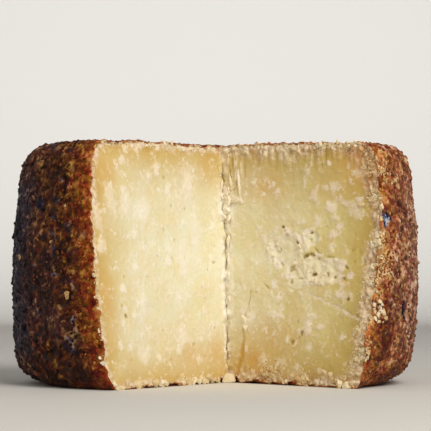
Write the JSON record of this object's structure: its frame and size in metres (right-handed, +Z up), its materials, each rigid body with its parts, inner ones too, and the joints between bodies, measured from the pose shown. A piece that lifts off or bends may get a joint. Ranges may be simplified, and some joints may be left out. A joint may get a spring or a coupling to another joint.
{
  "type": "cut pecorino cheese wheel",
  "caption": "Wheel of hard cheese with a rough brown rind and a wedge cut away, showing pale crumbly cut faces; it stands on its flat base.",
  "frame": {"origin": "on the flat base, under the middle of the solid's box", "axes": "+Z up, -Y out of the notch, +X to the right as one looks into the notch"},
  "size_m": [0.2088, 0.1914, 0.122],
  "materials": {
    "paste": "dull, slightly waxy, crumbly cut cheese",
    "rind": "dull, rough and grainy brown rind"
  },
  "bodies": {
    "root": {"cheese": "paste"}
  },
  "joints": []
}
